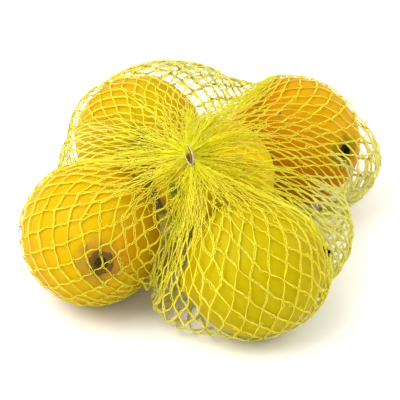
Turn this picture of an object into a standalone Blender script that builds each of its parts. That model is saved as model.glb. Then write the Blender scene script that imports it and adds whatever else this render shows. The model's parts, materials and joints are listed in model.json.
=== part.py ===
"""A supermarket net of five lemons, lying on its side with its gathered end up.

The net bag is one closed solid with the outer form of the filled net: it bulges over each lemon,
dips between them, and draws together into a neck at either end.  A metal clip is crimped round each
neck.  X is to the right, Y is to the back and Z is up; the floor is z = 0.
"""
import bpy
import bmesh
import numpy as np

MM = 0.001

# Lemons inside the net, in millimetres: centre, radius, half length, and the way the stem end points.
LEMONS = {
    "back_left": ((-31.9, 44.9, 32.4), 30.9, 34.9, (0.06, -0.83, 0.55)),
    "front_left": ((-50.6, -32.2, 31.3), 30.5, 35.5, (0.18, -0.96, 0.22)),
    "front_right": ((19.0, -57.7, 30.2), 29.5, 32.3, (0.98, 0.17, 0.15)),
    "back_right": ((40.9, 46.1, 31.5), 30.6, 35.2, (0.68, -0.69, 0.25)),
    "middle": ((4.4, -3.1, 42.4), 26.3, 30.4, (-0.61, -0.76, 0.23)),
}

# Where the springy net stands off the lemons: centre and half axes of each air pocket.
SLACK_POCKETS = {
    "behind_left": ((-17.5, 58.0, 36.0), (40.0, 30.0, 28.0)),
    "left_of_back_left": ((-34.0, 45.5, 33.0), (32.0, 32.0, 30.0)),
    "right_of_back_right": ((45.5, 38.0, 26.5), (37.0, 30.0, 27.0)),
    "between_right_lemons": ((38.5, -13.0, 22.0), (27.0, 42.0, 20.0)),
    "right_of_front_right": ((26.5, -50.0, 24.0), (27.0, 30.0, 24.0)),
    "front_gap": ((0.5, -52.0, 12.0), (24.0, 22.0, 12.0)),
    "left_gap": ((-45.0, 21.0, 30.0), (24.0, 30.0, 26.0)),
}

NET_THICKNESS = 1.1
COLUMNS = 80
ROWS = 36
RELAX_STEPS = 2600
RELAX_RATE = 0.5
# The net may sink this far under the floor while it is drawn in; the floor plane then cuts flat spots.
FLOOR_SINK = 0.5

# First guess of the bag before it is drawn in: a wide pillow.
PILLOW_RADIUS = 150.0
PILLOW_RISE = 60.0

# The upper neck stands on the middle lemon; the lower one hangs under it.
UPPER_NECK = {
    "mouth": (-7.0, -24.4, 65.5),
    "axis": (-0.33, -0.53, 0.785),
    "wide": (0.241, -0.848, -0.471),
    "half_width": 4.4,
    "half_depth": 0.9,
}
LOWER_NECK = {
    "mouth": (0.0, 0.0, 10.6),
    "axis": (0.0, 0.0, -1.0),
    "wide": (1.0, 0.0, 0.0),
    "half_width": 4.4,
    "half_depth": 0.9,
}
# Rings along a neck from its mouth to its cut end: distance along the axis, growth of the section.
NECK_RINGS = ((0.0, 1.0), (3.2, 1.0), (4.2, 1.1), (5.2, 1.2))
# Rings that flare from the mouth into the bag.
FLARE_RINGS = ((-0.1, 2.0), (0.4, 3.2))

CLIP_START = 0.9
CLIP_WIDTH = 1.9
CLIP_THICKNESS = 0.55
CLIP_GAP = 0.3
CLIP_SEGMENTS = 40

NET_COLOUR = (0.86, 0.66, 0.04, 1.0)
CLIP_COLOUR = (0.74, 0.70, 0.69, 1.0)


def clear_scene():
    """Remove every object of the open scene."""
    for thing in list(bpy.data.objects):
        bpy.data.objects.remove(thing, do_unlink=True)


def unit(vector):
    """A vector of length one."""
    vector = np.asarray(vector, dtype=float)
    return vector / np.linalg.norm(vector)


def lemon_frame(stem):
    """Three rows: two directions across the lemon and one along its stem."""
    along = unit(stem)
    across = unit(np.cross((0.0, 0.0, 1.0), along))
    return np.stack([across, np.cross(along, across), along])


def surface(name, colour, roughness, metallic):
    """A plain material of one colour."""
    material = bpy.data.materials.new(name)
    material.use_nodes = True
    shader = material.node_tree.nodes["Principled BSDF"]
    shader.inputs["Base Color"].default_value = colour
    shader.inputs["Roughness"].default_value = roughness
    shader.inputs["Metallic"].default_value = metallic
    return material


def azimuths():
    """Level directions in which the columns of the net leave the necks."""
    angles = np.linspace(0.0, 2.0 * np.pi, COLUMNS, endpoint=False)
    return np.stack([np.cos(angles), np.sin(angles), np.zeros(COLUMNS)], axis=1)


def neck_frame(neck):
    """Axis, wide direction and deep direction of a neck."""
    axis = unit(neck["axis"])
    wide = np.asarray(neck["wide"], dtype=float)
    wide = unit(wide - axis * (wide @ axis))
    return axis, wide, np.cross(axis, wide)


def neck_ring(neck, distance, growth):
    """An oval ring of points round a neck, one for each column of the net."""
    axis, wide, deep = neck_frame(neck)
    columns = azimuths()
    angles = np.arctan2(columns @ deep, columns @ wide)
    centre = np.asarray(neck["mouth"]) + distance * axis
    across = growth * neck["half_width"] * np.cos(angles)[:, None] * wide
    up = growth * neck["half_depth"] * np.sin(angles)[:, None] * deep
    return centre + across + up


def pillow(upper, lower):
    """First guess of the bag: rings that swell from the upper flare and close on the lower one."""
    steps = np.linspace(0.0, 1.0, ROWS + 1)[:, None, None]
    swell = np.sin(np.pi * steps) ** 0.5
    rings = (1.0 - steps) * upper + steps * lower + PILLOW_RADIUS * swell * azimuths()
    rings[..., 2] += (PILLOW_RISE * np.sin(np.pi * steps) * (1.0 - 2.0 * steps))[..., 0]
    return rings


def push_out(points, centre, half_axes, frame):
    """Move the points that are inside an ellipsoid out to its surface."""
    local = ((points - centre) @ frame.T) / half_axes
    depth = np.linalg.norm(local, axis=-1, keepdims=True)
    local = np.where(depth < 1.0, local / np.maximum(depth, 1e-9), local)
    return (local * half_axes) @ frame + centre


def keep_outside(points):
    """Keep the net outside the lemons and the air pockets, and near the floor at its lowest."""
    for centre, radius, half_length, stem in LEMONS.values():
        half_axes = np.array([radius, radius, half_length]) + NET_THICKNESS
        points = push_out(points, np.array(centre), half_axes, lemon_frame(stem))
    for centre, half_axes in SLACK_POCKETS.values():
        points = push_out(points, np.array(centre), np.array(half_axes), np.eye(3))
    points[..., 2] = np.maximum(points[..., 2], -FLOOR_SINK)
    return points


def draw_in(rings):
    """Tighten the net: each point moves to the mean of its neighbours, outside the lemons."""
    for _ in range(RELAX_STEPS):
        inner = rings[1:-1]
        along = 0.5 * (rings[:-2] + rings[2:]) - inner
        around = 0.5 * (np.roll(inner, 1, axis=1) + np.roll(inner, -1, axis=1)) - inner
        rings[1:-1] = keep_outside(inner + RELAX_RATE * 0.5 * (along + around))
    return rings


def bag_rings():
    """All rings of the bag, from the cut end of the upper neck to that of the lower one."""
    upper_neck = [neck_ring(UPPER_NECK, *ring) for ring in reversed(NECK_RINGS)]
    lower_neck = [neck_ring(LOWER_NECK, *ring) for ring in NECK_RINGS]
    upper_flare = [neck_ring(UPPER_NECK, -distance, growth) for distance, growth in FLARE_RINGS]
    lower_flare = [neck_ring(LOWER_NECK, distance, growth) for distance, growth in reversed(FLARE_RINGS)]
    body = draw_in(pillow(upper_flare[-1], lower_flare[0]))
    return upper_neck + upper_flare[:-1] + list(body) + lower_flare[1:] + lower_neck


def cut_flat(shape):
    """Cut off what lies under the floor and close the cuts, so that the solid rests on flat spots."""
    bmesh.ops.triangulate(shape, faces=shape.faces)
    whole = shape.verts[:] + shape.edges[:] + shape.faces[:]
    below = (0.0, 0.0, -1.0)
    cut = bmesh.ops.bisect_plane(shape, geom=whole, plane_co=(0, 0, 0), plane_no=below, clear_outer=True)
    rims = [part for part in cut["geom_cut"] if isinstance(part, bmesh.types.BMEdge)]
    bmesh.ops.holes_fill(shape, edges=rims, sides=0)


def mesh_object(name, rings, material, closed=False):
    """A solid from rings of points: joined end to end if closed, otherwise capped at both ends."""
    shape = bmesh.new()
    loops = [[shape.verts.new(point * MM) for point in ring] for ring in rings]
    count = len(loops[0])
    pairs = list(zip(loops, loops[1:]))
    if closed:
        pairs.append((loops[-1], loops[0]))
    for first, second in pairs:
        for k in range(count):
            after = (k + 1) % count
            shape.faces.new((first[k], first[after], second[after], second[k]))
    if not closed:
        shape.faces.new(loops[0])
        shape.faces.new(loops[-1])
    cut_flat(shape)
    bmesh.ops.triangulate(shape, faces=shape.faces)
    bmesh.ops.recalc_face_normals(shape, faces=shape.faces)
    mesh = bpy.data.meshes.new(name)
    shape.to_mesh(mesh)
    shape.free()
    mesh.materials.append(material)
    mesh.shade_smooth()
    thing = bpy.data.objects.new(name, mesh)
    bpy.context.scene.collection.objects.link(thing)
    return thing


def clip_section(outward, axis):
    """Corners of the strip's section: outward distance and distance along the neck, edges eased."""
    ease = 0.25 * CLIP_THICKNESS
    out, width = CLIP_THICKNESS, CLIP_WIDTH
    corners = (
        (0.0, ease), (ease, 0.0), (out - ease, 0.0), (out, ease),
        (out, width - ease), (out - ease, width), (ease, width), (0.0, width - ease),
    )
    return np.array([distance * outward + height * axis for distance, height in corners])


def clip(name, neck, material):
    """A metal strip crimped into an oval ring round a neck."""
    axis, wide, deep = neck_frame(neck)
    start = np.asarray(neck["mouth"]) + CLIP_START * axis
    half_width = neck["half_width"] + CLIP_GAP
    half_depth = neck["half_depth"] + CLIP_GAP
    sections = []
    for angle in np.linspace(0.0, 2.0 * np.pi, CLIP_SEGMENTS, endpoint=False):
        foot = half_width * np.cos(angle) * wide + half_depth * np.sin(angle) * deep
        outward = unit(np.cos(angle) / half_width * wide + np.sin(angle) / half_depth * deep)
        sections.append(start + foot + clip_section(outward, axis))
    return mesh_object(name, sections, material, closed=True)


def build():
    """Make the net bag and its two clips."""
    clear_scene()
    net = surface("net", NET_COLOUR, 0.4, 0.0)
    metal = surface("clip_metal", CLIP_COLOUR, 0.35, 1.0)
    mesh_object("net_bag", bag_rings(), net)
    clip("clip_top", UPPER_NECK, metal)
    clip("clip_base", LOWER_NECK, metal)


build()
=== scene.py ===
"""Looks of a supermarket net of five lemons, lying with its gathered end up.

The solid bag of the CAD part is replaced by what it stands for: five separate lemons and the knitted
net round them.  The net is worked out as a lattice of cells that is drawn in round the fruit, loosened
where it hangs free, and then followed strand by strand, each strand being a chain of three filaments.
Points are worked out in millimetres, in the frame of the CAD part: X right, Y back, Z up.
"""
import json
import math

import bpy
import numpy as np
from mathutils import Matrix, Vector

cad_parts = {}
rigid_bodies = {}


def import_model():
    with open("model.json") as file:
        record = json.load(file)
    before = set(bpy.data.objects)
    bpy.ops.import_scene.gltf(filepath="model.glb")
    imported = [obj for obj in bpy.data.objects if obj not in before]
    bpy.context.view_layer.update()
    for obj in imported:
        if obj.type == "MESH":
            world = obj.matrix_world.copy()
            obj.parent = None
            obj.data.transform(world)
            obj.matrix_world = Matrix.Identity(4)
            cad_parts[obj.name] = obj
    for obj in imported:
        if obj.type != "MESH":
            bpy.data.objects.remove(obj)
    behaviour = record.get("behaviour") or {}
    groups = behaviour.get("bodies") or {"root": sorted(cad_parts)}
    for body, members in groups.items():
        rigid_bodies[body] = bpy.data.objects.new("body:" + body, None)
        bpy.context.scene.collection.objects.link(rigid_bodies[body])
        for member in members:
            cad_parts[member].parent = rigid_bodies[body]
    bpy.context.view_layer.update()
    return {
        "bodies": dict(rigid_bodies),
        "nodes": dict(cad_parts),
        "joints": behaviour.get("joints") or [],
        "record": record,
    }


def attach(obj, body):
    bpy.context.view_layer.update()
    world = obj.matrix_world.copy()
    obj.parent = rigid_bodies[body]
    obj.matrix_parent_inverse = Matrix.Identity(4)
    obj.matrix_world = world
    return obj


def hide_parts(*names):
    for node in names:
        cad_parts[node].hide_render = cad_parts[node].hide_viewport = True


# Metres in a millimetre, radians in a whole turn, and the seed of every random number.
MM = 0.001
TURN = 2.0 * np.pi
SEED = 11

# Lemons inside the net: centre, radius, half length, and the way the stem end points.
LEMONS = {
    "back_left": ((-31.9, 44.9, 32.4), 30.9, 34.9, (0.06, -0.83, 0.55)),
    "front_left": ((-50.6, -32.2, 31.3), 30.5, 35.5, (0.18, -0.96, 0.22)),
    "front_right": ((19.0, -57.7, 30.2), 29.5, 32.3, (0.98, 0.17, 0.15)),
    "back_right": ((40.9, 46.1, 31.5), 30.6, 35.2, (0.68, -0.69, 0.25)),
    "middle": ((4.4, -3.1, 42.4), 26.3, 30.4, (-0.61, -0.76, 0.23)),
}

# Peel of each lemon: its colour, the colour of its riper patches, and that of the ring at its stem,
# how far the ring reaches round the stem in degrees, and how strong it is.
PEEL = {
    "back_left": ((0.52, 0.38, 0.001), (0.52, 0.29, 0.001), (0.34, 0.30, 0.004), 12.0, 0.6),
    "front_left": ((0.54, 0.34, 0.001), (0.54, 0.24, 0.001), (0.34, 0.17, 0.02), 19.0, 0.75),
    "front_right": ((0.42, 0.34, 0.001), (0.42, 0.29, 0.001), (0.33, 0.30, 0.003), 16.0, 0.6),
    "back_right": ((0.51, 0.26, 0.001), (0.54, 0.20, 0.001), (0.20, 0.15, 0.002), 12.0, 0.75),
    "middle": ((0.66, 0.48, 0.001), (0.66, 0.38, 0.001), (0.40, 0.40, 0.02), 12.0, 0.6),
}

# Calyx of each lemon: radius, height of its rim and of the stem stub, colour of the rim and of the stub.
CALYX = {
    "back_left": (3.1, 1.1, 1.8, (0.08, 0.11, 0.01), (0.012, 0.012, 0.004)),
    "front_left": (5.3, 0.7, 0.6, (0.20, 0.11, 0.025), (0.05, 0.028, 0.008)),
    "front_right": (2.9, 2.2, 3.4, (0.022, 0.015, 0.008), (0.006, 0.004, 0.003)),
    "back_right": (3.2, 0.9, 1.3, (0.035, 0.028, 0.005), (0.006, 0.005, 0.002)),
    "middle": (3.2, 0.6, 0.7, (0.38, 0.38, 0.02), (0.16, 0.17, 0.015)),
}

# How much each lemon narrows towards its stem.
TAPER = {"back_left": 0.02, "front_left": 0.01, "front_right": 0.07, "back_right": 0.03, "middle": 0.03}

# Where the springy net stands off the lemons: centre and half axes of each air pocket, and how slack
# the net hangs on it.
SLACK_POCKETS = {
    "behind_left": ((-17.5, 58.0, 36.0), (40.0, 30.0, 28.0), 0.8),
    "left_of_back_left": ((-34.0, 45.5, 33.0), (32.0, 32.0, 30.0), 0.25),
    "right_of_back_right": ((45.5, 38.0, 26.5), (37.0, 30.0, 27.0), 0.9),
    "between_right_lemons": ((38.5, -13.0, 22.0), (27.0, 42.0, 20.0), 0.65),
    "right_of_front_right": ((26.5, -50.0, 24.0), (27.0, 30.0, 24.0), 0.75),
    "front_gap": ((0.5, -52.0, 12.0), (24.0, 22.0, 12.0), 0.25),
    "left_gap": ((-45.0, 21.0, 30.0), (24.0, 30.0, 26.0), 0.3),
}

# The two necks: centre of the mouth, axis and wide direction, and the half axes of their oval section.
UPPER_NECK = {
    "mouth": (-7.0, -24.4, 65.5),
    "axis": (-0.33, -0.53, 0.785),
    "wide": (0.241, -0.848, -0.471),
}
LOWER_NECK = {
    "mouth": (0.0, 0.0, 10.6),
    "axis": (0.0, 0.0, -1.0),
    "wide": (1.0, 0.0, 0.0),
}
NECK_HALF_WIDTH = 4.4
NECK_HALF_DEPTH = 0.9
# Points of a strand along its neck: distance from the mouth and growth of the bundle.
NECK_POINTS = ((1.0, 0.9), (2.8, 0.9), (3.8, 1.0), (5.0, 1.15))
CUT_SPREAD = 0.5

# The lattice of the net: cells round the bag, rows of nodes from neck to neck, how unevenly long the
# sides of the cells are, and how far the nodes stay off the peel and off the floor.
CELLS_AROUND = 84
CELL_ROWS = 40
SIDE_SPREAD = 0.05
SKIN = 0.5
FLOOR_GAP = 0.9

# Numbers of the rows and of the columns of nodes, and how many rows each row is from the nearer neck.
ROWS = np.arange(CELL_ROWS + 1)[:, None]
COLUMNS = np.arange(CELLS_AROUND)[None, :]
FROM_NECK = np.minimum(ROWS, CELL_ROWS - ROWS)

# How far the knit is pulled open over each of the outer lemons: level direction and width of its sector
# in degrees, then the side and the width of a cell in millimetres.
SECTORS = {
    "front_left": (212.0, 24.0, 6.6, 7.9),
    "front_right": (296.0, 26.0, 6.9, 6.0),
    "back_right": (34.0, 30.0, 6.8, 8.0),
    "back_left": (124.0, 26.0, 5.9, 7.6),
}
# Pleats and stretches between the lemons: level direction, width, and share of more or fewer strands.
PLEATS = ((61.0, 2.5, 9.0), (172.0, 9.0, 0.6), (246.5, 5.5, -0.6), (254.0, 1.0, 5.0), (2.0, 14.0, 0.5))
# Where the strands swing sideways on their way down: level direction, width, and swing in sheet columns.
SWINGS = ((274.0, 28.0, 2.2),)

# The smooth sheet under the lattice is first guessed as a wide pillow and then drawn in.
SHEET_COLUMNS = 60
SHEET_ROWS = 40
PILLOW_RADIUS = 150.0
PILLOW_RISE = 60.0
DRAW_STEPS = 1800
# Rows of the sheet over which the outer lemons show from above.
SEEN_ROWS = (12, 23)

# Rows of cells are spaced so that each side keeps its length, which is shorter where the net is slack.
# A row is at least so many sides deep, and what is left over is taken up below the last free row.
LEAST_DEPTH = 0.55
DEPTH_STEPS = 400
COLUMN_BLUR = 2.0
FREE_ROWS = 25
RAGGED = 0.6
RAGGED_ROWS = 9.0

# Folds that the net makes as it is drawn together at the upper neck: number round it, phase in turns,
# and how strongly the strands gather on them.  They fade out between the two rows.
FOLDS = ((5, 0.40, 0.12), (9, 0.10, 0.24), (16, 0.45, 0.30))
FOLD_ROWS = (2, 9)
FOLD_HEIGHT = 2.2

# Settling of the lattice: a side may stretch by so much before it pulls.  Neighbours in a row keep a gap
# that is given at the neck, for each row further off, and at most.
SETTLE_STEPS = 10
SETTLE_PASSES = 3
INERTIA = 0.8
LENGTH_PULL = 0.22
MOST_STRETCH = 1.15
SOFTNESS = 0.05
ROW_GAP = (0.25, 0.12, 0.8)
BEND = 0.005
GATHER_BEND = 0.03
GATHER_ROWS = (6, 14)
LOWER_ROWS = (5, 12)

# Where the net hangs slack: how far out in an air pocket, in shares of its half axes, and how far off the
# peel, in millimetres, it passes from slack to taut, and the rows over which it grows taut at a neck.
POCKET_EDGE = (1.04, 1.18)
OFF_PEEL = (1.5, 5.5)
SLACK_ROWS = (5.0, 11.0)

# Loosening of the settled lattice, in millimetres, and the rows over which it sets in at a neck.
SLACK_WAVE = 1.8
SLACK_JITTER = 0.9
TAUT_JITTER = 0.35
STILL_ROWS = 8.0
LOOSEN_STEPS = 6
# The crumpled bunch that runs down between the two front lemons: its two ends, its radius, how far the
# net is drawn to it, and its unevenness.
CRUMPLE = ((-36.0, -60.0, 38.0), (-19.0, -56.0, 9.0), 7.5, 0.55, 1.7)

# Two strands touch along each node and waver between nodes.
NODE_HALF_LENGTH = 0.8
NODE_HALF_GAP = 0.45
STRAND_WAVER = 0.28

# The three filaments of a strand: their radii, the loops they make, the strays that stand off, the
# length over which they twist at most once, and how near the floor they come.
RAIL_RADIUS = 0.17
RUNG_RADIUS = 0.15
LOOP_HALF_WIDTH = 0.46
LOOP_SPREAD = (0.25, 1.0)
STRAY_SHARE = 0.03
STRAY_REACH = 1.1
RIBBON_PITCH = 34.0
LEAST_HEIGHT = 0.4

# Springy strands draw up shorter, wider and thicker where they hang slack.
SLACK_SHORTENING = 0.1
SLACK_WIDENING = 0.8
SLACK_THICKENING = 1.8

# Drawn strands are thin and lie in layers where cells are narrower than the two widths.  They spread
# wide in the fan round the upper neck, and are squeezed and tucked together on their way into a neck.
CROWDED_WIDTHS = (0.6, 2.6)
TIGHT_THINNING = 0.36
LAYER_HEIGHT = 1.4
FANNING = 0.8
FANNING_ROWS = (4.0, 9.5)
NECK_NARROWING = 0.4
TUCK_REACH = (2.0, 16.0)

# Straight pieces of a strand from one control point to the next, and pieces that the net is made in.
SPAN_STEPS = 2
NET_PARTS = 5

# Colours of the filament: the range of the taut strands and their darker patches, then slack strands,
# paler partly for their looser knit and partly as painted light, drawn strands, a deeper yellow that is
# painted shade and light bounced between crowded strands, and the brown cut ends.
TAUT_TINTS = ((0.965, 0.90, 0.05), (0.98, 0.94, 0.12))
PATCH_TINT = (0.94, 0.85, 0.045)
SLACK_AND_PAINTED_LIGHT_TINT = (0.975, 0.965, 0.56)
DRAWN_PAINTED_SHADE_TINT = (0.965, 0.935, 0.012)
CUT_TINT = (0.34, 0.15, 0.05)

# Mesh of each lemon and calyx, and how far a lemon's nipple stands out.
LEMON_ROWS = 90
LEMON_COLUMNS = 90
NIPPLE = 3.2

# Patches, mottling, oil glands and specks of the peel, in waves a metre.
PEEL_PATCHES = 28.0
PEEL_MOTTLE = 170.0
PEEL_GLANDS = 700.0
PEEL_SPECKS = 120.0

LAMP_TARGET = (0.0, 0.0, 30.0)
CAMERA_TARGET = (-3.0, 17.9, 16.0)
CAMERA_DISTANCE = 750.0
CAMERA_ELEVATION = 33.07
CAMERA_LENS = 144.2


# ---- vectors

def unit(vector):
    """A vector, or each of a block of vectors, of length one."""
    vector = np.asarray(vector, dtype=float)
    return vector / np.maximum(np.linalg.norm(vector, axis=-1, keepdims=True), 1e-9)


def rise(value, low, high):
    """0 below low, 1 above high, and a straight rise between them."""
    return np.clip((value - low) / (high - low), 0.0, 1.0)


def smoothstep(value, low, high):
    """0 below low, 1 above high, and a smooth rise between them."""
    t = rise(value, low, high)
    return t * t * (3.0 - 2.0 * t)


def lemon_frame(stem):
    """Three rows: two directions across the lemon and one along its stem."""
    along = unit(stem)
    across = unit(np.cross((0.0, 0.0, 1.0), along))
    return np.stack([across, np.cross(along, across), along])


def neck_frame(neck):
    """Axis, wide direction and deep direction of a neck."""
    axis = unit(neck["axis"])
    wide = unit(neck["wide"] - axis * (neck["wide"] @ axis))
    return axis, wide, np.cross(axis, wide)


def neck_ring(neck, columns, distance, growth):
    """Points round a neck, one for each level direction; both numbers may differ between points."""
    axis, wide, deep = neck_frame(neck)
    directions = np.stack([np.cos(columns), np.sin(columns), np.zeros_like(columns)], axis=-1)
    angles = np.arctan2(directions @ deep, directions @ wide)
    centre = neck["mouth"] + np.asarray(distance)[..., None] * axis
    across = (growth * NECK_HALF_WIDTH * np.cos(angles))[..., None] * wide
    up = (growth * NECK_HALF_DEPTH * np.sin(angles))[..., None] * deep
    return centre + across + up


def push_out(points, centre, half_axes, frame):
    """Move the points that are inside an ellipsoid out to its surface."""
    local = ((points - centre) @ frame.T) / half_axes
    depth = np.linalg.norm(local, axis=-1, keepdims=True)
    local = np.where(depth < 1.0, local / np.maximum(depth, 1e-9), local)
    return (local * half_axes) @ frame + centre


def keep_outside(points):
    """Keep the net outside the lemons and the air pockets, and above the floor."""
    for centre, radius, half_length, stem in LEMONS.values():
        half_axes = np.array([radius, radius, half_length]) + SKIN
        points = push_out(points, centre, half_axes, lemon_frame(stem))
    for centre, half_axes, _ in SLACK_POCKETS.values():
        points = push_out(points, centre, half_axes, np.eye(3))
    points[..., 2] = np.maximum(points[..., 2], FLOOR_GAP)
    return points


# ---- lattice of the net

def draw_in_sheet():
    """A smooth sheet with the bag's shape: rows from neck to neck, columns round the bag."""
    angles = np.arange(SHEET_COLUMNS) / SHEET_COLUMNS * TURN
    level = np.stack([np.cos(angles), np.sin(angles), np.zeros_like(angles)], axis=1)
    upper = neck_ring(UPPER_NECK, angles, 0.0, 1.0)
    lower = neck_ring(LOWER_NECK, angles, 0.0, 1.0)
    steps = np.linspace(0.0, 1.0, SHEET_ROWS + 1)[:, None, None]
    sheet = (1.0 - steps) * upper + steps * lower + PILLOW_RADIUS * np.sin(np.pi * steps) ** 0.5 * level
    sheet[..., 2] += (PILLOW_RISE * np.sin(np.pi * steps) * (1.0 - 2.0 * steps))[..., 0]
    for _ in range(DRAW_STEPS):
        inner = sheet[1:-1]
        mean = 0.25 * (sheet[:-2] + sheet[2:] + np.roll(inner, 1, axis=1) + np.roll(inner, -1, axis=1))
        sheet[1:-1] = keep_outside(0.5 * (inner + mean))
    return sheet


def on_sheet(sheet, column, depth):
    """Points of the sheet at any column and depth, between its own rows and columns."""
    above = np.clip(np.floor(depth).astype(int), 0, SHEET_ROWS - 1)
    left = np.floor(column).astype(int)
    down = (depth - above)[..., None]
    right = (column - left)[..., None]
    here, there = left % SHEET_COLUMNS, (left + 1) % SHEET_COLUMNS
    upper = (1.0 - right) * sheet[above, here] + right * sheet[above, there]
    lower = (1.0 - right) * sheet[above + 1, here] + right * sheet[above + 1, there]
    return (1.0 - down) * upper + down * lower


def round_the_sheet(values, column):
    """Values given at the sheet's columns, read at any column."""
    return np.interp(column % SHEET_COLUMNS, np.arange(SHEET_COLUMNS + 1), values)


def headings(sheet):
    """Level direction, in degrees, of each column of the sheet at its waist; the first is repeated."""
    waist = sheet[SHEET_ROWS // 2]
    turn = np.degrees(np.unwrap(np.arctan2(waist[:, 1], waist[:, 0])))
    return np.append(turn, turn[0] + 360.0)


def bumps(heading, table):
    """Sum of smooth bumps round the bag; the table gives the direction, width and height of each."""
    total = np.zeros_like(heading)
    for direction, width, height in table:
        away = (heading - direction + 180.0) % 360.0 - 180.0
        total += height * np.exp(-0.5 * (away / width) ** 2)
    return total


def knit_at(heading):
    """Side and width of a cell in a level direction, blended from the sectors' values."""
    sectors = SECTORS.values()
    near = [bumps(heading, [(direction, width, 1.0)]) + 1e-4 for direction, width, _, _ in sectors]
    return [sum(share * sector[k] for share, sector in zip(near, sectors)) / sum(near) for k in (2, 3)]


def columns_on(sheet, heading):
    """A function from evenly numbered columns of the net to places round the sheet."""
    apart = np.linalg.norm(np.roll(sheet, -1, axis=1) - sheet, axis=-1)[slice(*SEEN_ROWS)].mean(axis=0)
    places = np.linspace(0.0, SHEET_COLUMNS, 3000)
    toward = np.interp(places, np.arange(SHEET_COLUMNS + 1), heading)
    apart = np.interp(places, np.arange(SHEET_COLUMNS + 1), np.append(apart, apart[0]))
    density = apart / knit_at(toward)[1] * (1.0 + bumps(toward, PLEATS))
    count = np.concatenate([[0.0], np.cumsum(0.5 * (density[1:] + density[:-1]))])
    count *= CELLS_AROUND / count[-1]

    def place(column):
        """Place round the sheet of a column of the net."""
        turns = np.floor(column / CELLS_AROUND)
        return np.interp(column - turns * CELLS_AROUND, count, places) + turns * SHEET_COLUMNS

    return place


def blur_round(values):
    """Smooth a block of values round the bag."""
    waves = np.fft.fftfreq(values.shape[1])
    fade = np.exp(-2.0 * (np.pi * waves * COLUMN_BLUR) ** 2)
    return np.real(np.fft.ifft(np.fft.fft(values, axis=1) * fade))


def row_depths(sheet, heading, column, rng):
    """Depth on the sheet of each row of nodes, for columns half a cell apart."""
    depth = np.linspace(0.0, SHEET_ROWS, DEPTH_STEPS)
    lines = on_sheet(sheet, column + 0.0 * depth[:, None], depth[:, None] + 0.0 * column)
    steps = np.linalg.norm(np.diff(lines, axis=0), axis=-1)
    width = np.linalg.norm(np.roll(lines, -1, axis=1) - np.roll(lines, 1, axis=1), axis=-1)
    side = knit_at(round_the_sheet(heading, column))[0] * (1.0 - SLACK_SHORTENING * slackness(lines[1:]))
    row_depth = np.sqrt(np.maximum(side ** 2 - (0.5 * width[1:]) ** 2, (LEAST_DEPTH * side) ** 2))
    passed = np.concatenate([0.0 * steps[:1], np.cumsum(steps / row_depth, axis=0)])
    passed = blur_round(passed)
    left_over = rise(ROWS, FREE_ROWS, CELL_ROWS) ** 1.5
    target = ROWS + (passed[-1] - CELL_ROWS) * left_over
    near_neck = rise(ROWS, 0, 2) * np.exp(-((ROWS / RAGGED_ROWS) ** 2))
    target = target + RAGGED * near_neck * rng.standard_normal(column.shape)
    return np.stack([np.interp(target[:, k], passed[:, k], depth) for k in range(len(column))], axis=1)


def lattice_on(sheet, rng):
    """Nodes of the net on the sheet: every other row is shifted by half a cell."""
    heading = headings(sheet)
    place = columns_on(sheet, heading)
    depths = row_depths(sheet, heading, place(0.5 * np.arange(2 * CELLS_AROUND)), rng)
    half_columns = 2 * COLUMNS + ROWS % 2
    column = place(0.5 * half_columns)
    swing = bumps(round_the_sheet(heading, column), SWINGS)
    waist = 0.5 * CELL_ROWS
    down = rise(ROWS, 0, waist) ** 1.5 * rise(CELL_ROWS - ROWS, 0, waist) ** 0.5
    return on_sheet(sheet, column + swing * down, depths[ROWS, half_columns])


def cell_sides(nodes):
    """From each node to the two nodes below it, as two blocks of vectors."""
    above, below = nodes[:-1], nodes[1:]
    slanted = np.empty_like(above)
    slanted[0::2] = np.roll(below[0::2], 1, axis=1) - above[0::2]
    slanted[1::2] = np.roll(below[1::2], -1, axis=1) - above[1::2]
    return below - above, slanted


def share_out(straight, slanted, shape):
    """Sum at each node what its sides give it: plus at the upper end of a side, minus at the lower."""
    total = np.zeros(shape)
    total[:-1] += straight + slanted
    total[1:] -= straight
    total[1::2] -= np.roll(slanted[0::2], -1, axis=1)
    total[2::2] -= np.roll(slanted[1::2], 1, axis=1)
    return total


def row_freedom(rows):
    """0 in the rows that are drawn tight at the necks, 1 in the body of the net."""
    return smoothstep(rise(rows, *GATHER_ROWS) * rise(CELL_ROWS - rows, *LOWER_ROWS), 0.0, 1.0)


def settle(nodes, lengths, steps):
    """Pull the lattice's sides to their lengths: hard when stretched, softly when slack."""
    at_neck, each_row, most = ROW_GAP
    closest = np.minimum(at_neck + each_row * FROM_NECK, most)
    soft = SOFTNESS * row_freedom(ROWS[:-1] + 0.5)
    free = row_freedom(ROWS[1:-1])[..., None]
    bending = GATHER_BEND * (1.0 - free) + BEND * free
    before = nodes
    for _ in range(steps):
        speed = INERTIA * (nodes - before)
        before, nodes = nodes, nodes.copy()
        nodes[1:-1] += speed[1:-1]
        for _ in range(SETTLE_PASSES):
            pulls = []
            for side, length in zip(cell_sides(nodes), lengths):
                error = 1.0 - length / np.linalg.norm(side, axis=-1)
                error = np.where(error > 0.0, error, soft * error)
                pulls.append((LENGTH_PULL * error)[..., None] * side)
            move = share_out(*pulls, nodes.shape)
            across = np.roll(nodes, -1, axis=1) - nodes
            width = np.maximum(np.linalg.norm(across, axis=-1), 1e-6)
            spread = (0.25 * np.minimum(0.0, width - closest) / width)[..., None] * across
            move += spread - np.roll(spread, 1, axis=1)
            nodes[1:-1] += move[1:-1]
            nodes[1:-1] += bending * share_out(*cell_sides(nodes), nodes.shape)[1:-1] / 4.0
            nodes[1:-1] = keep_outside(nodes[1:-1])
    return nodes


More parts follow.
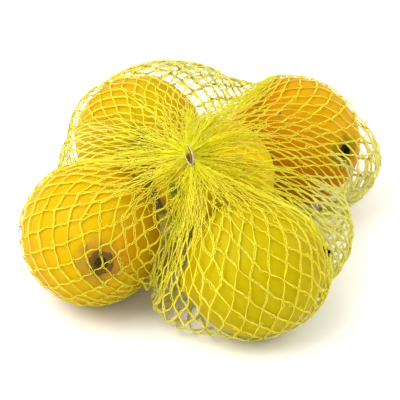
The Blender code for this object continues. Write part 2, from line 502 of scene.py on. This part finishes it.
def slackness(points):
    """0 where the net lies on the lemons, up to 1 where it hangs on an air pocket."""
    gap = np.full(points.shape[:2], np.inf)
    for centre, radius, half_length, stem in LEMONS.values():
        local = ((points - centre) @ lemon_frame(stem).T) / (radius, radius, half_length)
        gap = np.minimum(gap, (np.linalg.norm(local, axis=-1) - 1.0) * radius)
    slack = np.zeros(points.shape[:2])
    for centre, half_axes, looseness in SLACK_POCKETS.values():
        free = np.linalg.norm((points - centre) / half_axes, axis=-1)
        slack = np.maximum(slack, looseness * (1.0 - smoothstep(free, *POCKET_EDGE)))
    return slack * smoothstep(gap, *OFF_PEEL)


def node_slackness(nodes):
    """Slackness of each node, none near the necks."""
    return slackness(nodes) * smoothstep(FROM_NECK, *SLACK_ROWS)


def smooth_noise(shape, rng, rounds):
    """Random numbers over the lattice, smoothed over neighbouring nodes and scaled to spread 1."""
    noise = rng.standard_normal(shape)
    for _ in range(rounds):
        around = np.roll(noise, 1, axis=1) + np.roll(noise, -1, axis=1)
        along = np.concatenate([noise[:1], noise[:-1]]) + np.concatenate([noise[1:], noise[-1:]])
        noise = 0.2 * (noise + around + along)
    return noise / noise.std()


def loosen(nodes, rng):
    """Disturb the even lattice: waves and uneven cells where it is slack, a little where it is taut."""
    shape = nodes.shape[:2]
    slack = node_slackness(nodes)[..., None]
    waves = SLACK_WAVE * np.stack([smooth_noise(shape, rng, 12) for _ in range(3)], axis=-1)
    jitter = SLACK_JITTER * rng.standard_normal(nodes.shape)
    inner = rise(FROM_NECK, 0, STILL_ROWS)[..., None]
    start, end, radius, pull, unevenness = CRUMPLE
    run = np.subtract(end, start)
    share = np.clip((nodes - start) @ run / (run @ run), 0.0, 1.0)
    toward = start + share[..., None] * run - nodes
    bunch = np.exp(-0.5 * (np.linalg.norm(toward, axis=-1, keepdims=True) / radius) ** 2)
    uneven = TAUT_JITTER * inner + unevenness * bunch ** 2
    moved = nodes + pull * bunch * toward + slack * (waves + jitter)
    return moved + uneven * rng.standard_normal(nodes.shape)


def side_lengths(nodes, rng):
    """Length of each side of a cell when pulled straight, for the two blocks of sides."""
    turn = np.degrees(np.arctan2(nodes[:-1, :, 1], nodes[:-1, :, 0]))
    most = MOST_STRETCH * knit_at(turn)[0]
    uneven = [1.0 + SIDE_SPREAD * rng.standard_normal(turn.shape) for _ in range(2)]
    return [np.minimum(np.linalg.norm(side, axis=-1), most) * factor
            for side, factor in zip(cell_sides(nodes), uneven)]


def fold(nodes):
    """Gather the strands near the upper neck on raised folds, moving them sideways and outward."""
    column = COLUMNS + 0.5 * (ROWS % 2)
    fade = smoothstep(ROWS, 0, 2) * (1.0 - smoothstep(ROWS, *FOLD_ROWS))
    shift = np.zeros_like(column)
    height = np.zeros_like(column)
    for number, phase, pull in FOLDS:
        turn = TURN * (number * column / CELLS_AROUND + phase)
        shift -= pull * CELLS_AROUND / (TURN * number) * np.sin(turn)
        height += pull * np.cos(turn)
    shift *= fade
    out = node_directions(nodes)[2]
    whole = np.floor(shift).astype(int)
    share = (shift - whole)[..., None]
    here, there = (COLUMNS + whole) % CELLS_AROUND, (COLUMNS + whole + 1) % CELLS_AROUND
    moved = (1.0 - share) * nodes[ROWS, here] + share * nodes[ROWS, there]
    moved += (FOLD_HEIGHT * fade * np.maximum(height, -0.3))[..., None] * out
    return np.concatenate([nodes[:1], moved[1:-1], nodes[-1:]])


def net_lattice(rng):
    """The nodes of the net round the lemons: a block of rows by columns by three."""
    nodes = lattice_on(draw_in_sheet(), rng)
    nodes[1:-1] = keep_outside(nodes[1:-1])
    lengths = side_lengths(nodes, rng)
    nodes = settle(nodes, lengths, SETTLE_STEPS)
    nodes = loosen(nodes, rng)
    nodes[1:-1] = keep_outside(nodes[1:-1])
    nodes = fold(settle(nodes, lengths, LOOSEN_STEPS))
    nodes[1:-1] = keep_outside(nodes[1:-1])
    return nodes


# ---- strands of the net

def node_directions(nodes):
    """At each node: down the bag, across it, and out of it."""
    inner = nodes[2:] - nodes[:-2]
    down = unit(np.concatenate([inner[:1], inner, inner[-1:]]))
    across = np.roll(nodes, -1, axis=1) - np.roll(nodes, 1, axis=1)
    across = unit(across - np.sum(across * down, axis=-1, keepdims=True) * down)
    return down, across, np.cross(down, across)


def crowding(nodes):
    """0 where the strands have room side by side, 1 where they lie in layers."""
    width = np.linalg.norm(np.roll(nodes, -1, axis=1) - nodes, axis=-1)
    return 1.0 - smoothstep(width, *CROWDED_WIDTHS)


def strand_controls(nodes, family, rng):
    """Control points of one family of zigzag strands: place, direction across the net, width, thickness.

    Family 0 touches its right-hand neighbour in the even rows and its left-hand one in the odd rows;
    family 1 the other way round.  Returns a block of strands by points by eight numbers.
    """
    odd = ROWS % 2
    column = (COLUMNS - family * odd) % CELLS_AROUND
    side = (1.0 - 2.0 * odd) * (1.0 - 2.0 * family)
    down, across, out = (block[ROWS, column] for block in node_directions(nodes))
    tight = crowding(nodes)[ROWS, column]
    slack = node_slackness(nodes)[ROWS, column]
    fanning = FANNING * (1.0 - smoothstep(ROWS, *FANNING_ROWS))
    size = np.stack([1.0 + fanning + SLACK_WIDENING * slack,
                     1.0 - TIGHT_THINNING * tight + SLACK_THICKENING * slack], axis=-1)
    layer = LAYER_HEIGHT * rng.uniform(-0.1, 1.0, COLUMNS.shape) * tight
    shift = NODE_HALF_GAP * side * (1.0 - 0.6 * tight)
    centre = nodes[ROWS, column] + shift[..., None] * across + layer[..., None] * out
    reach = NODE_HALF_LENGTH * down
    above = np.concatenate([centre - reach, across, size], axis=-1)
    below = np.concatenate([centre + reach, across, size], axis=-1)
    middle = 0.5 * (below[:-1] + above[1:])
    waver = STRAND_WAVER * rng.standard_normal(middle[..., :3].shape)
    middle[..., :3] += waver * (1.0 - tight[:-1, :, None])
    points = []
    for k in range(CELL_ROWS):
        points += [above[k], below[k], middle[k]]
    points += [above[-1], below[-1]]
    return np.stack(points, axis=1)


def neck_controls(neck, family, rng):
    """Control points of each strand through a neck, filling its oval; the first is the cut end."""
    columns = (COLUMNS[0] + 0.25 - 0.5 * family) / CELLS_AROUND * TURN
    depth = np.sqrt((COLUMNS[0] * 0.618 + 0.31 * family) % 1.0)
    across = unit(neck_ring(neck, columns + 0.1, 0.0, 1.0) - neck_ring(neck, columns - 0.1, 0.0, 1.0))
    size = np.tile([1.0 - NECK_NARROWING, 1.0 - TIGHT_THINNING], (CELLS_AROUND, 1))
    rings = []
    for distance, growth in reversed(NECK_POINTS):
        spread = rng.uniform(-CUT_SPREAD, CUT_SPREAD, CELLS_AROUND) * (distance > 4.0)
        place = neck_ring(neck, columns, distance + spread, growth * depth)
        rings.append(np.concatenate([place, across, size], axis=-1))
    return np.stack(rings, axis=1), depth


def tuck_in(controls, neck, depth):
    """Draw the strands near a neck into its bundle, each to its own depth."""
    axis = neck_frame(neck)[0]
    mouth = neck["mouth"]
    points = controls[..., :3]
    foot = mouth + ((points - mouth) @ axis)[..., None] * axis
    share = 1.0 - smoothstep(np.linalg.norm(points - mouth, axis=-1), *TUCK_REACH)
    shrink = 1.0 - share * (1.0 - depth[:, None])
    controls[..., :3] = foot + shrink[..., None] * (points - foot)
    return controls


def spline(controls):
    """A Catmull-Rom curve through the control points."""
    padded = np.concatenate([2 * controls[:, :1] - controls[:, 1:2], controls,
                             2 * controls[:, -1:] - controls[:, -2:-1]], axis=1)
    samples = []
    for k in range(controls.shape[1] - 1):
        a, b, c, d = (padded[:, k + offset] for offset in range(4))
        for step in range(SPAN_STEPS):
            t = step / SPAN_STEPS
            samples.append(0.5 * (2 * b + (c - a) * t + (2 * a - 5 * b + 4 * c - d) * t * t
                                  + (3 * b - a - 3 * c + d) * t ** 3))
    samples.append(controls[:, -1])
    return np.stack(samples, axis=1)


def strand_paths(nodes, rng):
    """All strands from cut end to cut end: place, direction across, width and thickness."""
    paths = []
    for family in (0, 1):
        upper, upper_depth = neck_controls(UPPER_NECK, family, rng)
        lower, lower_depth = neck_controls(LOWER_NECK, family, rng)
        body = tuck_in(strand_controls(nodes, family, rng), UPPER_NECK, upper_depth)
        body = tuck_in(body, LOWER_NECK, lower_depth)
        paths.append(spline(np.concatenate([upper, body, lower[:, ::-1]], axis=1)))
    order = np.argsort(np.tile(COLUMNS[0], 2) - np.repeat((0.0, 0.5), CELLS_AROUND))
    return np.concatenate(paths)[order]


def chain_filaments(paths, rng):
    """Three filaments of each knitted strand, with the frame of each point.

    Two rails run along the edges of a narrow ribbon that turns slowly, opening and closing into
    uneven loops, and a third crosses between them.  Returns lines, directions across, directions
    out, and radii.
    """
    place = paths[..., :3]
    tangent = unit(np.gradient(place, axis=1))
    across = unit(paths[..., 3:6] - np.sum(paths[..., 3:6] * tangent, axis=-1, keepdims=True) * tangent)
    out = np.cross(tangent, across)
    steps = np.linalg.norm(np.diff(place, axis=1), axis=-1)
    run = np.concatenate([np.zeros((len(paths), 1)), np.cumsum(steps, axis=1)], axis=1)
    turn = rng.uniform(-1.0, 1.0, (len(paths), 1)) / RIBBON_PITCH
    phase = TURN * (run * turn + rng.uniform(0.0, 1.0, (len(paths), 1)))
    flat = np.cos(phase)[..., None] * across + 0.6 * np.sin(phase)[..., None] * out
    half = LOOP_HALF_WIDTH * paths[..., 6]
    stitch = np.where(np.arange(place.shape[1]) % 2 == 0, 1.0, -1.0)
    lines = []
    for side in (1.0, -1.0, stitch):
        offset = side * half * rng.uniform(*LOOP_SPREAD, half.shape)
        line = place + offset[..., None] * flat
        stray = STRAY_REACH * (rng.uniform(0.0, 1.0, half.shape) < STRAY_SHARE) * paths[..., 6]
        lines.append(line + (stray * np.sign(offset))[..., None] * across)
    lines = np.concatenate(lines)
    lines[..., 2] = np.maximum(lines[..., 2], LEAST_HEIGHT)
    radii = np.concatenate([radius * paths[..., 7] for radius in (RAIL_RADIUS, RAIL_RADIUS, RUNG_RADIUS)])
    return lines, np.concatenate([across] * 3), np.concatenate([out] * 3), radii


# ---- meshes

def add_object(name, data):
    """An object of the scene, made from its mesh, lamp or camera."""
    thing = bpy.data.objects.new(name, data)
    bpy.context.scene.collection.objects.link(thing)
    return thing


def mesh_from(name, vertices, faces):
    """A mesh object from points in millimetres and faces with the same number of corners each."""
    mesh = bpy.data.meshes.new(name)
    mesh.vertices.add(len(vertices))
    mesh.vertices.foreach_set("co", (np.asarray(vertices) * MM).astype(np.float32).ravel())
    corners = np.concatenate([block.ravel() for block in faces])
    sizes = np.concatenate([np.full(len(block), block.shape[1]) for block in faces])
    starts = np.cumsum(sizes) - sizes
    mesh.loops.add(len(corners))
    mesh.loops.foreach_set("vertex_index", corners.astype(np.int32))
    mesh.polygons.add(len(sizes))
    mesh.polygons.foreach_set("loop_start", starts.astype(np.int32))
    mesh.update(calc_edges=True)
    mesh.validate()
    mesh.shade_smooth()
    return add_object(name, mesh)


def tube_faces(lines, points):
    """Faces of closed three-sided tubes: quads along them and a triangle at each end."""
    ring = np.arange(3)
    after = (ring + 1) % 3
    start = 3 * (np.arange(lines)[:, None, None] * points + np.arange(points - 1)[None, :, None])
    quads = np.stack([start + ring, start + after, start + 3 + after, start + 3 + ring], axis=-1)
    first = 3 * points * np.arange(lines)[:, None]
    last = first + 3 * (points - 1)
    return [quads.reshape(-1, 4), np.concatenate([first + ring[::-1], last + ring])]


def tubes(name, lines, across, out, radii):
    """One object made of thin tubes along the lines, with a radius for each point."""
    angles = np.arange(3) / 3.0 * TURN
    ring = np.cos(angles)[:, None] * across[:, :, None, :] + np.sin(angles)[:, None] * out[:, :, None, :]
    vertices = (lines[:, :, None, :] + radii[:, :, None, None] * ring).reshape(-1, 3)
    return mesh_from(name, vertices, tube_faces(len(lines), lines.shape[1]))


def set_number(thing, name, values):
    """Store one number for each vertex of a mesh."""
    attribute = thing.data.attributes.new(name, "FLOAT", "POINT")
    attribute.data.foreach_set("value", np.asarray(values, dtype=np.float32))


def set_place(thing, name, places):
    """Store one place for each vertex of a mesh, given in millimetres."""
    attribute = thing.data.attributes.new(name, "FLOAT_VECTOR", "POINT")
    attribute.data.foreach_set("vector", (places * MM).astype(np.float32).ravel())


def grid_faces(rows, columns):
    """Quads of a sheet of rows by columns that closes on itself round the columns."""
    row = np.arange(rows - 1)[:, None] * columns
    column = np.arange(columns)[None, :]
    after = (column + 1) % columns
    return np.stack([row + column, row + after, row + columns + after, row + columns + column],
                    axis=-1).reshape(-1, 4)


# ---- materials

class Nodes:
    """A short way to add nodes to a material's tree."""

    def __init__(self, name):
        """Start a material of that name with its own shader."""
        self.material = bpy.data.materials.new(name)
        self.material.use_nodes = True
        self.tree = self.material.node_tree
        self.shader = self.tree.nodes["Principled BSDF"]

    def add(self, kind, settings=None, **inputs):
        """Add a node; inputs are numbers, colours or other nodes' outputs."""
        node = self.tree.nodes.new(kind)
        for key, value in (settings or {}).items():
            setattr(node, key, value)
        for key, value in inputs.items():
            self.put(node, key, value)
        return node

    def put(self, node, key, value):
        """Set or link one input of a node, by its name or by # and its number."""
        socket = node.inputs[int(key[1:]) if key[0] == "#" else key.replace("_", " ")]
        if isinstance(value, bpy.types.NodeSocket):
            self.tree.links.new(value, socket)
        else:
            socket.default_value = value

    def attribute(self, name, output="Fac"):
        """A number or a place stored on the mesh."""
        return self.add("ShaderNodeAttribute", {"attribute_name": name}).outputs[output]

    def math(self, operation, first, second):
        """A number worked out from two numbers."""
        node = self.add("ShaderNodeMath", {"operation": operation})
        self.put(node, "#0", first)
        self.put(node, "#1", second)
        return node.outputs[0]

    def noise(self, scale, detail, roughness, offset, place):
        """Noise at so many waves a metre."""
        node = self.add("ShaderNodeTexNoise", {"noise_dimensions": "4D"}, Scale=scale, Detail=detail,
                        Roughness=roughness, W=offset, Vector=place)
        return node.outputs["Fac"]

    def ramp(self, value, low, high, start=0.0, end=1.0):
        """Map low..high to start..end, smoothly and clamped."""
        node = self.add("ShaderNodeMapRange", {"interpolation_type": "SMOOTHSTEP"}, Value=value,
                        From_Min=low, From_Max=high, To_Min=start, To_Max=end)
        return node.outputs["Result"]

    def mix(self, share, first, second, most=1.0):
        """A colour between two colours, with at most so much of the second."""
        node = self.add("ShaderNodeMix", {"data_type": "RGBA"})
        self.put(node, "#0", self.math("MULTIPLY", share, most))
        for index, colour in (("#6", first), ("#7", second)):
            if not isinstance(colour, bpy.types.NodeSocket):
                colour = tuple(colour) + (1.0,)
            self.put(node, index, colour)
        return node.outputs[2]

    def bump(self, height, strength, distance, below=None):
        """A bump from a height; distance is in metres."""
        node = self.add("ShaderNodeBump", Height=height, Strength=strength, Distance=distance)
        if below is not None:
            self.put(node, "Normal", below)
        return node.outputs["Normal"]

    def finish(self, **inputs):
        """Set the surface shader and return the material."""
        for key, value in inputs.items():
            self.put(self.shader, key, value)
        return self.material


def peel_material(name, colour, ripe, stem_ring, ring_reach, ring_strength, offset):
    """Lemon peel: pitted with oil glands, patchy in colour, greener round the stem."""
    nodes = Nodes("peel_" + name)
    place = nodes.attribute("own", "Vector")
    split = nodes.add("ShaderNodeSeparateXYZ", Vector=place)
    reach = nodes.add("ShaderNodeVectorMath", {"operation": "LENGTH"})
    nodes.put(reach, "#0", place)
    height = nodes.math("DIVIDE", split.outputs["Z"], reach.outputs["Value"])
    patches = nodes.ramp(nodes.noise(PEEL_PATCHES, 2.0, 0.5, offset, place), 0.42, 0.66)
    mottle = nodes.ramp(nodes.noise(PEEL_MOTTLE, 3.0, 0.6, offset + 3.0, place), 0.3, 0.7)
    glands = nodes.add("ShaderNodeTexVoronoi", {"feature": "F1"}, Vector=place, Scale=PEEL_GLANDS,
                       Randomness=0.9)
    pit = nodes.ramp(glands.outputs["Distance"], 0.0, 0.42)
    tint = nodes.mix(patches, colour, ripe)
    deeper = tuple(0.86 * part for part in colour)
    tint = nodes.mix(mottle, tint, deeper, 0.35)
    tint = nodes.mix(nodes.math("SUBTRACT", 1.0, pit), tint, ripe, 0.22)
    uneven = nodes.math("ADD", height, nodes.math("MULTIPLY", mottle, 0.03))
    ring = nodes.ramp(uneven, math.cos(math.radians(ring_reach)), 1.0)
    tint = nodes.mix(ring, tint, stem_ring, ring_strength)
    scar = nodes.ramp(height, -0.9965, -0.9990)
    tint = nodes.mix(scar, tint, (0.10, 0.06, 0.02))
    specks = nodes.ramp(nodes.noise(PEEL_SPECKS, 1.0, 0.4, offset + 9.0, place), 0.765, 0.785)
    tint = nodes.mix(specks, tint, (0.12, 0.06, 0.01), 0.75)
    swell = nodes.bump(nodes.noise(300.0, 2.0, 0.5, offset, place), 0.25, 0.0004)
    normal = nodes.bump(pit, 0.4, 0.0002, swell)
    rough = nodes.ramp(mottle, 0.0, 1.0, 0.34, 0.46)
    return nodes.finish(Base_Color=tint, Roughness=rough, Normal=normal, Specular_IOR_Level=0.03)


def calyx_material(name, rim, stub):
    """Dry calyx: dark stub in a lighter, fibrous rim."""
    nodes = Nodes("calyx_" + name)
    place = nodes.attribute("own", "Vector")
    middle = nodes.attribute("middle")
    rib = nodes.attribute("rib")
    fibres = nodes.noise(900.0, 4.0, 0.65, 1.0, place)
    darker = tuple(0.25 * part for part in rim)
    paler = tuple(min(1.0, 2.0 * part) for part in rim)
    # The grooves between the ribs are darker, partly their own tone and partly painted shade.
    tint = nodes.mix(rib, darker, rim)
    tint = nodes.mix(nodes.ramp(fibres, 0.55, 0.75), tint, paler)
    tint = nodes.mix(middle, tint, stub)
    normal = nodes.bump(fibres, 0.6, 0.0005)
    return nodes.finish(Base_Color=tint, Roughness=0.8, Normal=normal, Specular_IOR_Level=0.04)


def net_material():
    """Glossy yellow filament that lets some light through; paler where slack, partly as painted light; a
    deeper yellow where drawn, as painted shade; brown at the cut ends.
    """
    nodes = Nodes("net_filament")
    place = nodes.add("ShaderNodeTexCoord").outputs["Object"]
    cut, shade, fluff_and_painted_light, drawn = (nodes.attribute(name) for name in ("cut", "shade", "fluff_and_painted_light", "drawn"))
    uneven = nodes.ramp(nodes.noise(700.0, 2.0, 0.5, 2.0, place), 0.35, 0.65)
    tint = nodes.mix(shade, *TAUT_TINTS)
    tint = nodes.mix(uneven, tint, PATCH_TINT, 0.25)
    # Slack strands turn paler: partly the looser knit's own look, partly painted light standing for light
    # scattered in the loose knit and the bright space behind it.
    tint = nodes.mix(fluff_and_painted_light, tint, SLACK_AND_PAINTED_LIGHT_TINT, 0.9)
    # Drawn strands turn a deeper, more saturated yellow: painted shade and painted yellow light bounced
    # between the crowded strands.
    tint = nodes.mix(drawn, tint, DRAWN_PAINTED_SHADE_TINT, 0.9)
    tint = nodes.mix(cut, tint, CUT_TINT)
    normal = nodes.bump(nodes.noise(1600.0, 2.0, 0.5, 5.0, place), 0.2, 0.0001)
    material = nodes.finish(Base_Color=tint, Roughness=0.32, Normal=normal, Specular_IOR_Level=0.14)
    through = nodes.add("ShaderNodeBsdfTranslucent", Color=tint)
    both = nodes.add("ShaderNodeMixShader")
    clear = nodes.ramp(fluff_and_painted_light, 0.0, 1.0, 0.46, 0.72)
    nodes.put(both, "#0", nodes.math("SUBTRACT", clear, nodes.math("MULTIPLY", drawn, 0.16)))
    nodes.put(both, "#1", nodes.shader.outputs[0])
    nodes.put(both, "#2", through.outputs[0])
    nodes.put(nodes.tree.nodes["Material Output"], "Surface", both.outputs[0])
    return material


def clip_material():
    """Soft aluminium strip, brushed along its length and scuffed by the crimping tool."""
    nodes = Nodes("clip_aluminium")
    place = nodes.add("ShaderNodeTexCoord").outputs["Object"]
    stretch = nodes.add("ShaderNodeMapping", Vector=place, Scale=(1.0, 1.0, 6.0))
    brushed = nodes.noise(900.0, 3.0, 0.6, 0.0, stretch.outputs[0])
    scuffs = nodes.ramp(nodes.noise(400.0, 4.0, 0.7, 4.0, place), 0.45, 0.7)
    tint = nodes.mix(scuffs, (0.58, 0.42, 0.38), (0.30, 0.18, 0.14))
    rough = nodes.ramp(brushed, 0.3, 0.7, 0.38, 0.58)
    normal = nodes.bump(brushed, 0.25, 0.0002)
    return nodes.finish(Base_Color=tint, Roughness=rough, Normal=normal, Metallic=0.7)


def floor_material():
    """Pale, slightly warm matt board."""
    nodes = Nodes("floor_board")
    place = nodes.add("ShaderNodeTexCoord").outputs["Object"]
    cloudy = nodes.ramp(nodes.noise(6.0, 2.0, 0.5, 0.0, place), 0.3, 0.7)
    tint = nodes.mix(cloudy, (0.89, 0.88, 0.86), (0.92, 0.91, 0.895))
    return nodes.finish(Base_Color=tint, Roughness=0.85)


# ---- lemons

def lumps(points, rng, wavelength, waves=16):
    """A smooth uneven height over points in space, from 0 down to about -1."""
    total = np.zeros(points.shape[:-1])
    for _ in range(waves):
        direction = unit(rng.standard_normal(3)) * TURN / (wavelength * rng.uniform(0.7, 1.4))
        total += np.cos(points @ direction + rng.uniform(0.0, TURN))
    return (total - total.max()) / (total.max() - total.min())


def in_place(piece, name, vertices, faces):
    """A mesh made in a lemon's own frame, moved into the bag; it keeps the places in that frame as well."""
    centre, _, _, stem = LEMONS[name]
    thing = mesh_from(piece, vertices @ lemon_frame(stem) + centre, faces)
    set_place(thing, "own", vertices)
    return thing


def peel_profile(name, polar):
    """Distance from the axis and height of the peel at an angle from the stem, without furrows."""
    _, radius, half_length, _ = LEMONS[name]
    stem_half = polar < np.pi / 2
    taper = np.where(stem_half, TAPER[name], 0.05) * np.cos(polar) ** 2
    tip = np.pi - polar
    height = np.where(stem_half, half_length, half_length - NIPPLE) * np.cos(polar)
    height = height - NIPPLE * np.exp(-((tip / 0.17) ** 2)) + 0.9 * np.exp(-(((tip - 0.36) / 0.13) ** 2))
    height = height - 1.4 * np.exp(-((polar / 0.15) ** 2))
    return radius * np.sin(polar) * (1.0 - taper), height


def lemon_body(name, rng):
    """One lemon in its own frame, stem up: shoulder and furrows at the stem, nipple at the other end."""
    _, radius, half_length, _ = LEMONS[name]
    polar = np.linspace(0.0, np.pi, LEMON_ROWS + 1)[1:-1, None]
    round_ = np.arange(LEMON_COLUMNS)[None, :] / LEMON_COLUMNS * TURN
    across, height = peel_profile(name, polar)
    phase = rng.uniform(0.0, TURN, 3)
    furrow = sum(np.cos(count * round_ + shift) for count, shift in zip((5, 8, 13), phase)) / 3.0
    height = height + 0.30 * furrow * np.exp(-(((polar - 0.30) / 0.10) ** 2))
    height = height + 0.30 * furrow * np.exp(-(((np.pi - polar - 0.22) / 0.10) ** 2))
    points = np.stack([across * np.cos(round_), across * np.sin(round_), height], axis=-1)
    outward = unit(points / np.array([radius, radius, half_length]) ** 2)
    points = points + outward * (0.55 * lumps(points, rng, 26.0) + 0.22 * lumps(points, rng, 6.5))[..., None]
    poles = [points[0].mean(axis=0), points[-1].mean(axis=0)]
    vertices = np.concatenate([points.reshape(-1, 3), poles])
    column = np.arange(LEMON_COLUMNS)
    after = (column + 1) % LEMON_COLUMNS
    last_row = (LEMON_ROWS - 2) * LEMON_COLUMNS
    pole = np.full(LEMON_COLUMNS, len(vertices) - 2)
    first = np.stack([pole, column, after], axis=1)
    last = np.stack([pole + 1, last_row + after, last_row + column], axis=1)
    faces = [grid_faces(LEMON_ROWS - 1, LEMON_COLUMNS)[:, ::-1], np.concatenate([first, last])]
    return in_place("lemon_" + name, name, vertices, faces)


def calyx_body(name, rng):
    """The calyx of one lemon, in the lemon's frame: a ribbed dry disc on the peel, with a stub of stem."""
    radius, rim, stub, _, _ = CALYX[name]
    column = np.arange(LEMON_COLUMNS)
    round_ = column / LEMON_COLUMNS * TURN
    lobes = 1.0 + 0.07 * np.cos(5 * round_ + rng.uniform(0, 6))
    lobes = lobes + 0.04 * np.cos(13 * round_ + rng.uniform(0, 6))
    ribs = 0.5 + 0.5 * np.cos(30 * round_ + 1.5 * np.cos(5 * round_))
    # share of the radius, height above the peel, 1 where it belongs to the stub
    profile = ((0.05, stub, 1), (0.20, stub, 1), (0.27, 0.8 * stub, 1), (0.33, 0.35 * rim, 1),
               (0.42, 0.30 * rim, 1), (0.52, 0.75 * rim, 0), (0.66, rim, 0), (0.82, 0.95 * rim, 0),
               (0.94, 0.70 * rim, 0), (1.00, 0.20 * rim, 0), (0.97, -0.4, 0), (0.80, -0.9, 0),
               (0.05, -1.2, 0))
    rings = []
    middle = []
    for share, height, inside in profile:
        flank = share > 0.45 and height > 0.0
        ripple = (0.06 * rng.standard_normal(LEMON_COLUMNS) + 0.22 * (ribs - 0.5)) * flank
        reach = radius * share * np.where(share > 0.35, lobes, 1.0)
        seat = peel_profile(name, reach / LEMONS[name][1])[1]
        place = [reach * np.cos(round_), reach * np.sin(round_), seat + height + ripple]
        rings.append(np.stack(place, axis=-1))
        middle += [float(inside)] * LEMON_COLUMNS
    vertices = np.concatenate(rings)
    ends = [column[None, ::-1], (len(profile) - 1) * LEMON_COLUMNS + column[None, :]]
    faces = [grid_faces(len(profile), LEMON_COLUMNS)[:, ::-1]] + ends
    thing = in_place("calyx_" + name, name, vertices, faces)
    set_number(thing, "middle", middle)
    set_number(thing, "rib", np.tile(ribs, len(profile)))
    return thing


def make_lemons(rng):
    """All lemons with their calyxes."""
    for number, name in enumerate(LEMONS):
        body = lemon_body(name, rng)
        calyx = calyx_body(name, rng)
        body.data.materials.append(peel_material(name, *PEEL[name], 7.0 * number))
        calyx.data.materials.append(calyx_material(name, *CALYX[name][3:]))
        for thing, slot in ((body, "lemon_peel"), (calyx, "calyx")):
            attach(thing, "root")
        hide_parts("net_bag")


# ---- net

def lower_side_share(paths):
    """1 for the strands on the lower side of the upper neck, whose cut ends are coloured a deeper brown."""
    wide = neck_frame(UPPER_NECK)[1]
    along = (paths[:, :1, :3] - UPPER_NECK["mouth"]) @ wide
    return smoothstep(along, 0.0, 1.6)


def make_net(rng):
    """The net's strands, in a few pieces side by side."""
    paths = strand_paths(net_lattice(rng), rng)
    material = net_material()
    count = paths.shape[1]
    place = np.arange(count)
    end = np.maximum(1.0 - smoothstep(place, 0, 4), smoothstep(place, count - 5, count - 1))
    # Brown at the cut ends: a little on every strand, most on the lower side of the upper neck.
    cut = end * (0.1 + 0.9 * lower_side_share(paths))
    for part, group in enumerate(np.array_split(np.arange(len(paths)), NET_PARTS), 1):
        lines, across, out, radii = chain_filaments(paths[group], rng)
        thing = tubes(f"net_strands_{part}", lines, across, out, radii)
        thickness = paths[group, :, 7]
        numbers = {
            "cut": cut[group],
            "shade": np.repeat(rng.uniform(0.0, 1.0, len(group))[:, None], count, axis=1),
            # How far a strand is thickened where slack; the material uses it to lay on the paler tint, which
            # is partly painted light.
            "fluff_and_painted_light": np.clip((thickness - 1.0) / SLACK_THICKENING, 0.0, 1.0),
            # How far a strand is thinned where crowded; the material uses it to lay on the deeper yellow,
            # which is painted shade and bounced light.
            "drawn": np.clip((1.0 - thickness) / TIGHT_THINNING, 0.0, 1.0),
        }
        for name, values in numbers.items():
            set_number(thing, name, np.repeat(np.tile(values, (3, 1)), 3))
        thing.data.materials.append(material)
        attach(thing, "root")
        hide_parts("net_bag")


def finish_clips(frame):
    """Give the two clips their metal."""
    metal = clip_material()
    for name in ("clip_top", "clip_base"):
        clip = frame["nodes"][name]
        clip.data.materials.clear()
        clip.data.materials.append(metal)


# ---- stage, light, camera

def make_floor():
    """A wide pale floor."""
    half = 4000.0
    corners = [(-half, -half, 0.0), (half, -half, 0.0), (half, half, 0.0), (-half, half, 0.0)]
    floor = mesh_from("floor", corners, [np.array([[0, 1, 2, 3]])])
    floor.data.materials.append(floor_material())


def aim(thing, position, target):
    """Place a lamp or camera and point it at the target; both are in millimetres."""
    position = Vector(position) * MM
    direction = Vector(target) * MM - position
    thing.location = position
    thing.rotation_euler = direction.to_track_quat("-Z", "Y").to_euler()


def add_lamp(name, position, size, power, colour):
    """A square soft box."""
    lamp = bpy.data.lights.new(name, "AREA")
    lamp.shape = "SQUARE"
    lamp.size = size * MM
    lamp.energy = power
    lamp.color = colour
    aim(add_object(name, lamp), position, LAMP_TARGET)


def make_light():
    """Key from the upper left, a fill from the right, and white surroundings."""
    add_lamp("key", (-950.0, -380.0, 1400.0), 1500.0, 36.0, (1.0, 0.98, 0.95))
    add_lamp("fill", (1300.0, 350.0, 600.0), 1200.0, 14.0, (1.0, 1.0, 0.98))
    world = bpy.data.worlds.new("white_room")
    world.use_nodes = True
    background = world.node_tree.nodes["Background"]
    background.inputs["Color"].default_value = (1.0, 1.0, 1.0, 1.0)
    background.inputs["Strength"].default_value = 0.92
    bpy.context.scene.world = world


def make_camera():
    """The camera, looking down from the front."""
    camera = bpy.data.cameras.new("camera")
    camera.lens = CAMERA_LENS
    camera.sensor_width = 36.0
    camera.clip_start = 0.01
    thing = add_object("camera", camera)
    rise = math.radians(CAMERA_ELEVATION)
    away = Vector((0.0, -math.cos(rise), math.sin(rise))) * CAMERA_DISTANCE
    aim(thing, Vector(CAMERA_TARGET) + away, CAMERA_TARGET)
    bpy.context.scene.camera = thing


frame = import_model()
random_numbers = np.random.default_rng(SEED)
bpy.context.scene.view_settings.view_transform = "Standard"
make_lemons(random_numbers)
make_net(random_numbers)
finish_clips(frame)
make_floor()
make_light()
make_camera()
